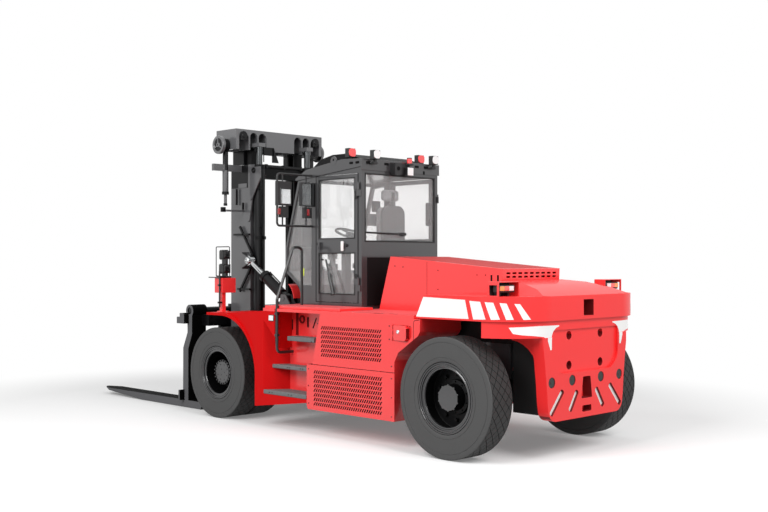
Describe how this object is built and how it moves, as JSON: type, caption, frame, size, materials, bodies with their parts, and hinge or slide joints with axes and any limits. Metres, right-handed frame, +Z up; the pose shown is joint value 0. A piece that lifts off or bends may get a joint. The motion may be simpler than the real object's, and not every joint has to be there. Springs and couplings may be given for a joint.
{
  "type": "heavy fork lift truck",
  "caption": "Heavy electric counterbalanced fork lift truck with enclosed cab, two stage mast, side shifting forks and dual drive wheels.",
  "frame": {"origin": "on the ground, under the middle of the overall length and width", "axes": "+X forward along the forks, +Y to the driver's left, +Z up"},
  "size_m": [8.014, 2.511, 3.684],
  "materials": {
    "red_paint": "satin",
    "black_paint": "satin",
    "grey_tread": "matte",
    "tyre_rubber": "matte",
    "rim_paint": "satin",
    "clear_glass": "gloss",
    "chrome_rod": "polished",
    "seat_cloth": "matte",
    "lamp_body": "gloss",
    "battery_case": "matte"
  },
  "bodies": {
    "truck": {"chassis_frame": "red_paint", "axle_beams": "black_paint", "battery_block": "battery_case", "side_boxes": "red_paint", "steps_and_deck": "grey_tread", "fenders": "red_paint", "hood": "red_paint", "counterweight_upper": "red_paint", "counterweight_lower": "red_paint", "road_lamps": "red_paint", "roof_lamps": "lamp_body", "cab_frame": "black_paint", "cab_roof": "black_paint", "cab_glass": "clear_glass", "seat_frame": "black_paint", "seat_pads": "seat_cloth", "operator_console": "black_paint", "mirrors": "black_paint", "handrails": "black_paint"},
    "charge_door": {"charge_door": "red_paint"},
    "mast_outer": {"mast_outer": "black_paint", "lift_barrels": "black_paint"},
    "mast_inner": {"mast_inner": "black_paint", "lift_rods": "chrome_rod"},
    "carriage": {"carriage": "black_paint"},
    "fork_left": {"fork_left": "black_paint"},
    "tilt_barrel_left": {"tilt_barrel_left": "black_paint"},
    "tilt_rod_left": {"tilt_rod_left": "chrome_rod"},
    "front_wheel_left": {"front_tyres_left": "tyre_rubber", "front_rims_left": "rim_paint"},
    "steer_knuckle_left": {"steer_knuckle_left": "black_paint"},
    "rear_wheel_left": {"rear_tyre_left": "tyre_rubber", "rear_rim_left": "rim_paint"},
    "cab_door_left": {"cab_door_left": "black_paint", "cab_door_glass_left": "clear_glass"},
    "fork_right": {"fork_right": "black_paint"},
    "tilt_barrel_right": {"tilt_barrel_right": "black_paint"},
    "tilt_rod_right": {"tilt_rod_right": "chrome_rod"},
    "front_wheel_right": {"front_tyres_right": "tyre_rubber", "front_rims_right": "rim_paint"},
    "steer_knuckle_right": {"steer_knuckle_right": "black_paint"},
    "rear_wheel_right": {"rear_tyre_right": "tyre_rubber", "rear_rim_right": "rim_paint"},
    "cab_door_right": {"cab_door_right": "black_paint", "cab_door_glass_right": "clear_glass"}
  },
  "joints": [
    {"name": "mast_tilt", "type": "hinge", "parent": "truck", "child": "mast_outer", "pos_m": [0.757, 0, 0.5666], "axis": [0, 1, 0], "range_deg": [-12, 6]},
    {"name": "mast_lift", "type": "slide", "parent": "mast_outer", "child": "mast_inner", "axis": [0, 0, 1], "range_m": [0, 1.45]},
    {"name": "carriage_lift", "type": "slide", "parent": "mast_inner", "child": "carriage", "axis": [0, 0, 1], "range_m": [0, 1.45]},
    {"name": "charge_door_hinge", "type": "hinge", "parent": "truck", "child": "charge_door", "pos_m": [-2.389, 1.204, 1.222], "axis": [0, 0, -1], "range_deg": [0, 110]},
    {"name": "fork_slide_left", "type": "slide", "parent": "carriage", "child": "fork_left", "axis": [0, 1, 0], "range_m": [-0.4, 0.05]},
    {"name": "front_wheel_spin_left", "type": "hinge", "parent": "truck", "child": "front_wheel_left", "pos_m": [0.757, 0.83, 0.5666], "axis": [0, 1, 0], "continuous": true},
    {"name": "steer_left", "type": "hinge", "parent": "truck", "child": "steer_knuckle_left", "pos_m": [-3.159, 0.86, 0.61], "axis": [0, 0, 1], "range_deg": [-40, 40]},
    {"name": "rear_wheel_spin_left", "type": "hinge", "parent": "steer_knuckle_left", "child": "rear_wheel_left", "pos_m": [-3.159, 1.096, 0.61], "axis": [0, 1, 0], "continuous": true},
    {"name": "cab_door_hinge_left", "type": "hinge", "parent": "truck", "child": "cab_door_left", "pos_m": [-1.308, 0.668, 2.2], "axis": [0, 0, 1], "range_deg": [0, 95]},
    {"name": "tilt_cylinder_pivot_left", "type": "hinge", "parent": "truck", "child": "tilt_barrel_left", "pos_m": [0.11, 0.56, 1.5], "axis": [0, 1, 0], "range_deg": [-12.69, 6.5]},
    {"name": "tilt_cylinder_rod_left", "type": "slide", "parent": "tilt_barrel_left", "child": "tilt_rod_left", "axis": [0.8389, 0, 0.5443], "range_m": [-0.2389, 0.1204]},
    {"name": "fork_slide_right", "type": "slide", "parent": "carriage", "child": "fork_right", "axis": [0, -1, 0], "range_m": [-0.4, 0.05]},
    {"name": "front_wheel_spin_right", "type": "hinge", "parent": "truck", "child": "front_wheel_right", "pos_m": [0.757, -0.83, 0.5666], "axis": [0, 1, 0], "continuous": true},
    {"name": "steer_right", "type": "hinge", "parent": "truck", "child": "steer_knuckle_right", "pos_m": [-3.159, -0.86, 0.61], "axis": [0, 0, 1], "range_deg": [-40, 40]},
    {"name": "rear_wheel_spin_right", "type": "hinge", "parent": "steer_knuckle_right", "child": "rear_wheel_right", "pos_m": [-3.159, -1.096, 0.61], "axis": [0, 1, 0], "continuous": true},
    {"name": "cab_door_hinge_right", "type": "hinge", "parent": "truck", "child": "cab_door_right", "pos_m": [-1.308, -0.668, 2.2], "axis": [0, 0, -1], "range_deg": [0, 95]},
    {"name": "tilt_cylinder_pivot_right", "type": "hinge", "parent": "truck", "child": "tilt_barrel_right", "pos_m": [0.11, -0.56, 1.5], "axis": [0, 1, 0], "range_deg": [-12.69, 6.5]},
    {"name": "tilt_cylinder_rod_right", "type": "slide", "parent": "tilt_barrel_right", "child": "tilt_rod_right", "axis": [0.8389, 0, 0.5443], "range_m": [-0.2389, 0.1204]}
  ],
  "couplings": [
    {"joint": "carriage_lift", "follows": "mast_lift", "ratio": 1},
    {"joint": "tilt_cylinder_pivot_left", "follows": "mast_tilt", "ratio": 1.0328},
    {"joint": "tilt_cylinder_rod_left", "follows": "mast_tilt", "m_per_rad": 1.1309},
    {"joint": "tilt_cylinder_pivot_right", "follows": "mast_tilt", "ratio": 1.0328},
    {"joint": "tilt_cylinder_rod_right", "follows": "mast_tilt", "m_per_rad": 1.1309},
    {"joint": "steer_right", "follows": "steer_left", "ratio": 1}
  ]
}
